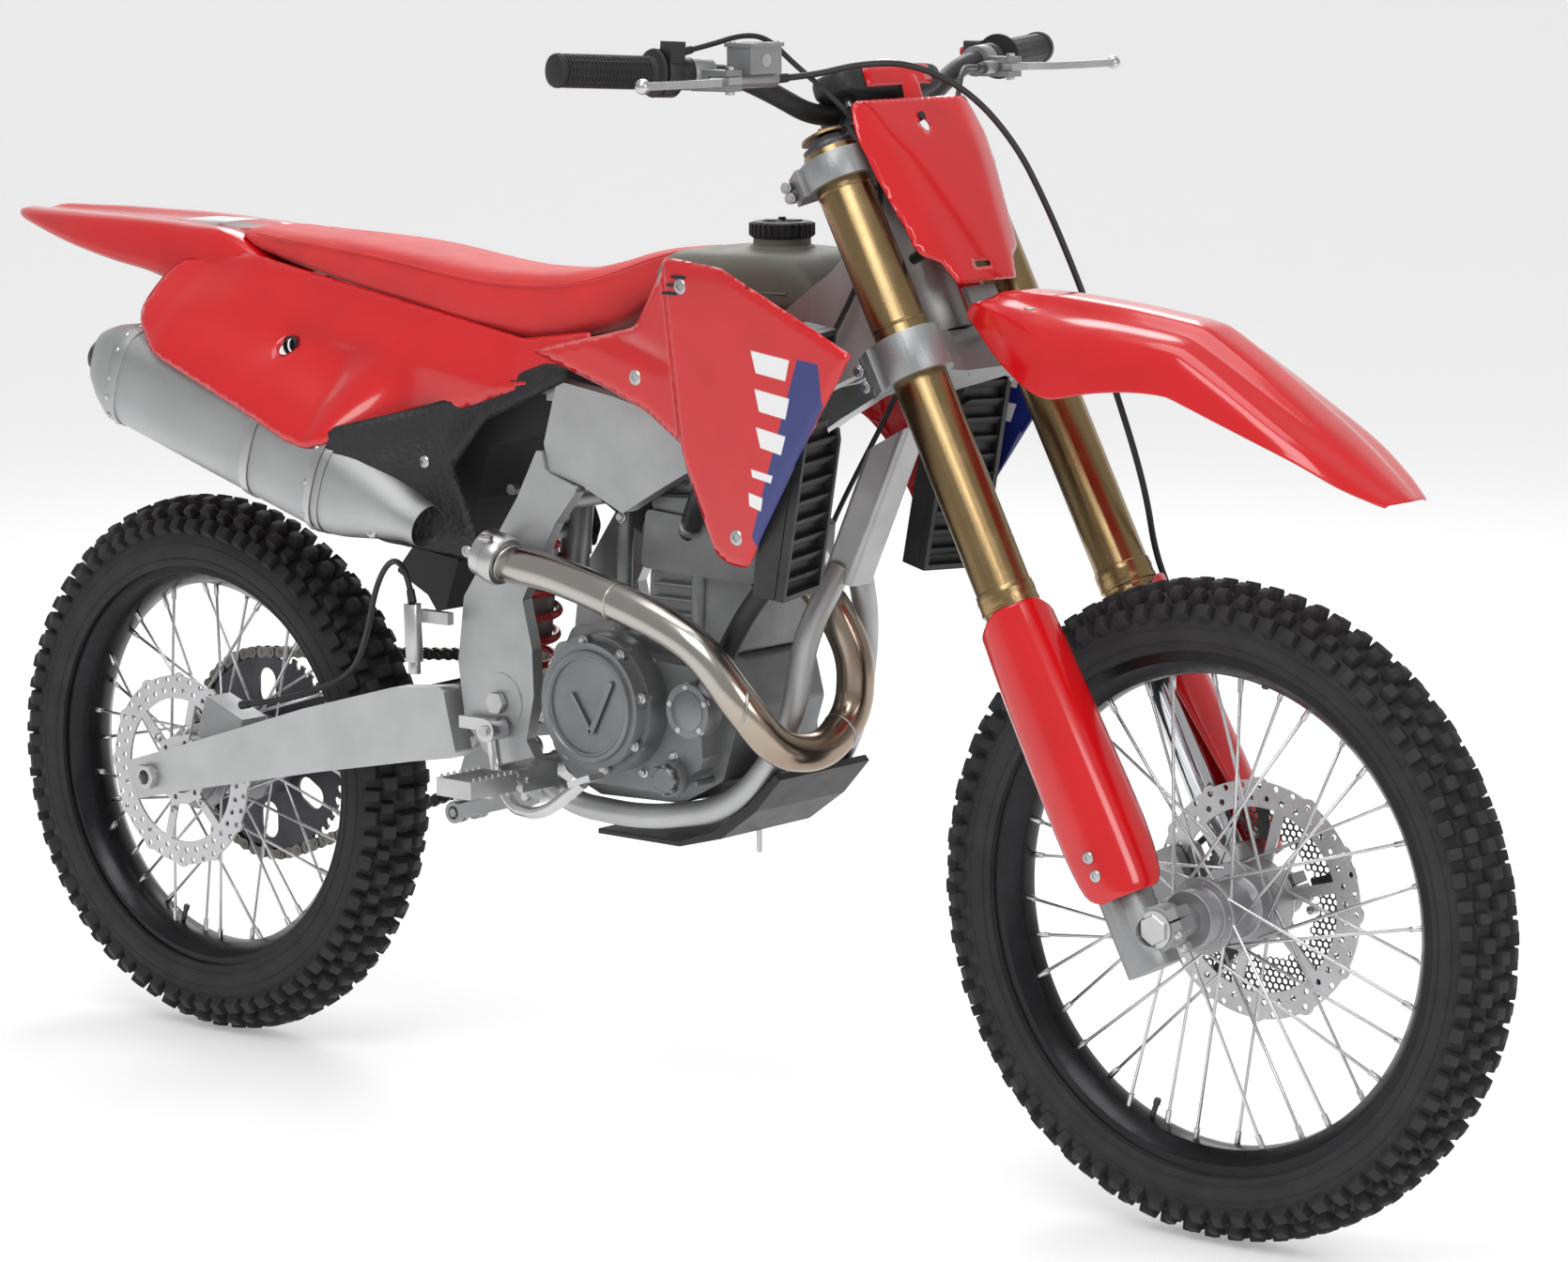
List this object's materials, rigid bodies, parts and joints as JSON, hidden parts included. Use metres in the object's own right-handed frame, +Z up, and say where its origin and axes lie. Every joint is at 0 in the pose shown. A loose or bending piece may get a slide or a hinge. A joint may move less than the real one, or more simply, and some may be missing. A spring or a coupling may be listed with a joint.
{
  "type": "motocross motorcycle",
  "caption": "Off-road competition motorcycle with sprung fork and swingarm, knobbly tyres, red bodywork, working controls, chain drive and a side exhaust.",
  "frame": {"origin": "on the ground, below the middle of the machine in its centre plane, half way between the outer ends of the two tyres", "axes": "+X forwards, +Y to the rider's left, +Z up"},
  "size_m": [2.1548, 0.8362, 1.2417],
  "materials": {
    "tyre": "matt knobbly rubber",
    "rim": "black anodised alloy",
    "hub": "machined alloy",
    "spoke": "bright steel wire",
    "disc": "ground steel",
    "sprocket": "hard anodised alloy",
    "axle": "plated steel",
    "fork_gold": "gold anodised alloy",
    "fork_slider": "hard chrome and cast alloy",
    "red_plastic": "glossy red moulding",
    "black_plastic": "grained black moulding",
    "caliper": "grey cast alloy",
    "clamp": "shot-blasted cast alloy",
    "bar": "black coated alloy",
    "pad": "red and black foam pad cover",
    "rubber": "ribbed rubber",
    "control": "forged and polished alloy",
    "frame": "brushed and cast alloy",
    "subframe": "alloy tube",
    "engine": "die-cast alloy, lightly painted",
    "exhaust": "stainless steel with heat tint",
    "muffler": "brushed alloy",
    "radiator": "black fins and grille",
    "tank": "grey olive moulding",
    "seat": "gripping vinyl cover",
    "button": "moulded button",
    "chain": "steel chain",
    "spring": "coated spring steel",
    "shock": "anodised alloy and chrome",
    "hose": "black hose"
  },
  "bodies": {
    "frame": {"main_frame": "frame", "cradle": "frame", "subframe": "subframe", "engine": "engine", "intake": "black_plastic", "exhaust_header": "exhaust", "muffler": "muffler", "radiators": "radiator", "shrouds": "red_plastic", "side_panels": "red_plastic", "fuel_tank": "tank", "seat": "seat", "rear_fender": "red_plastic", "skid_plate": "black_plastic", "frame_fittings": "axle"},
    "fuel_cap": {"fuel_cap": "black_plastic"},
    "footpeg_right": {"footpeg_right": "axle"},
    "footpeg_left": {"footpeg_left": "axle"},
    "brake_pedal": {"brake_pedal": "control"},
    "shift_lever": {"shift_lever": "control"},
    "drive_sprocket": {"drive_sprocket": "sprocket"},
    "steering": {"fork_outer_tubes": "fork_gold", "fork_clamps": "clamp", "handlebar": "bar", "bar_pad": "pad", "bar_housings": "black_plastic", "lever_perches": "control", "number_plate": "red_plastic", "front_fender": "red_plastic", "front_brake_hose": "hose", "control_cables": "hose"},
    "throttle": {"throttle_grip": "rubber"},
    "brake_lever": {"brake_lever": "control"},
    "clutch_lever": {"clutch_lever": "control"},
    "start_button": {"start_button": "button"},
    "stop_button": {"stop_button": "button"},
    "fork_lower": {"fork_sliders": "fork_slider", "fork_guards": "red_plastic", "front_caliper": "caliper"},
    "front_wheel": {"front_tyre": "tyre", "front_rim": "rim", "front_hub": "hub", "front_spokes": "spoke", "front_disc": "disc"},
    "swingarm": {"swingarm": "frame", "chain": "chain", "rear_axle": "axle", "rear_caliper": "caliper", "rear_brake_hose": "hose"},
    "rear_wheel": {"rear_tyre": "tyre", "rear_rim": "rim", "rear_hub": "hub", "rear_spokes": "spoke", "rear_disc": "disc", "rear_sprocket": "sprocket"},
    "shock_body": {"shock_body": "shock"},
    "shock_rod": {"shock_rod": "shock", "shock_spring": "spring"},
    "shock_rocker": {"shock_rocker": "shock"},
    "pull_link": {"pull_link": "shock"}
  },
  "joints": [
    {"name": "steering", "type": "hinge", "parent": "frame", "child": "steering", "pos_m": [0.3685, 0, 0.9185], "axis": [-0.461, 0, 0.8874], "range_deg": [-40, 40], "deforming": ["control_cables"]},
    {"name": "fork_slide", "type": "slide", "parent": "steering", "child": "fork_lower", "axis": [-0.461, 0, 0.8874], "range_m": [-0.03, 0.25], "stiffness_N_per_m": 9000, "springref_m": -0.04, "deforming": ["front_brake_hose"]},
    {"name": "front_wheel_spin", "type": "hinge", "parent": "fork_lower", "child": "front_wheel", "pos_m": [0.73065, 0, 0.3467], "axis": [0, 1, 0], "continuous": true},
    {"name": "swingarm_pivot", "type": "hinge", "parent": "frame", "child": "swingarm", "pos_m": [-0.182, 0, 0.48], "axis": [0, 1, 0], "range_deg": [-4, 26], "stiffness_Nm_per_rad": 1850, "springref_deg": -9.74, "deforming": ["chain", "rear_brake_hose"]},
    {"name": "rear_wheel_spin", "type": "hinge", "parent": "swingarm", "child": "rear_wheel", "pos_m": [-0.74635, 0, 0.331], "axis": [0, 1, 0], "continuous": true},
    {"name": "drive_sprocket_spin", "type": "hinge", "parent": "frame", "child": "drive_sprocket", "pos_m": [-0.096, 0.08, 0.484], "axis": [0, 1, 0], "continuous": true},
    {"name": "shock_swing", "type": "hinge", "parent": "frame", "child": "shock_body", "pos_m": [-0.205, 0, 0.716], "axis": [0, 1, 0], "range_deg": [-1, 6]},
    {"name": "shock_slide", "type": "slide", "parent": "shock_body", "child": "shock_rod", "axis": [0.1122, 0, 0.9937], "range_m": [-0.012, 0.07], "deforming": ["shock_spring"]},
    {"name": "rocker_pivot", "type": "hinge", "parent": "swingarm", "child": "shock_rocker", "pos_m": [-0.31, 0, 0.4154], "axis": [0, 1, 0], "range_deg": [-35, 6]},
    {"name": "link_pivot", "type": "hinge", "parent": "frame", "child": "pull_link", "pos_m": [-0.217, 0, 0.356], "axis": [0, 1, 0], "range_deg": [-5, 29]},
    {"name": "fuel_cap_turn", "type": "hinge", "parent": "frame", "child": "fuel_cap", "pos_m": [0.146, 0, 1.015], "axis": [0, 0, 1], "range_deg": [0, 270]},
    {"name": "footpeg_right_fold", "type": "hinge", "parent": "frame", "child": "footpeg_right", "pos_m": [-0.116, -0.154, 0.408], "axis": [-1, 0, 0], "range_deg": [0, 50], "stiffness_Nm_per_rad": 0.6, "springref_deg": -22.92},
    {"name": "footpeg_left_fold", "type": "hinge", "parent": "frame", "child": "footpeg_left", "pos_m": [-0.116, 0.154, 0.408], "axis": [1, 0, 0], "range_deg": [0, 50], "stiffness_Nm_per_rad": 0.6, "springref_deg": -22.92},
    {"name": "brake_pedal_pivot", "type": "hinge", "parent": "frame", "child": "brake_pedal", "pos_m": [-0.176, -0.127, 0.452], "axis": [0, 1, 0], "range_deg": [0, 8], "stiffness_Nm_per_rad": 8, "springref_deg": -8.59},
    {"name": "shift_lever_pivot", "type": "hinge", "parent": "frame", "child": "shift_lever", "pos_m": [-0.064, 0.113, 0.424], "axis": [0, 1, 0], "range_deg": [-12, 12], "stiffness_Nm_per_rad": 4},
    {"name": "throttle_turn", "type": "hinge", "parent": "steering", "child": "throttle", "pos_m": [0.188, -0.405, 1.208], "axis": [-0.2585, -0.9649, 0.0462], "range_deg": [0, 75], "stiffness_Nm_per_rad": 0.15, "springref_deg": -20.05},
    {"name": "brake_lever_pivot", "type": "hinge", "parent": "steering", "child": "brake_lever", "pos_m": [0.27521, -0.24, 1.19411], "axis": [0, 0, -1], "range_deg": [0, 20], "stiffness_Nm_per_rad": 2, "springref_deg": -8.59},
    {"name": "clutch_lever_pivot", "type": "hinge", "parent": "steering", "child": "clutch_lever", "pos_m": [0.27521, 0.24, 1.19411], "axis": [0, 0, 1], "range_deg": [0, 20], "stiffness_Nm_per_rad": 2, "springref_deg": -8.59},
    {"name": "start_button_travel", "type": "slide", "parent": "steering", "child": "start_button", "axis": [0.9659, -0.2588, 0], "range_m": [0, 0.0015], "stiffness_N_per_m": 700, "springref_m": -0.001},
    {"name": "stop_button_travel", "type": "slide", "parent": "steering", "child": "stop_button", "axis": [0.9659, 0.2588, 0], "range_m": [0, 0.0015], "stiffness_N_per_m": 700, "springref_m": -0.001}
  ],
  "couplings": [
    {"joint": "drive_sprocket_spin", "follows": "rear_wheel_spin", "ratio": 3.8462},
    {"joint": "shock_swing", "follows": "swingarm_pivot", "ratio": 0.22},
    {"joint": "shock_slide", "follows": "swingarm_pivot", "m_per_rad": 0.15012},
    {"joint": "rocker_pivot", "follows": "swingarm_pivot", "ratio": -1.303},
    {"joint": "link_pivot", "follows": "swingarm_pivot", "ratio": 1.078}
  ]
}
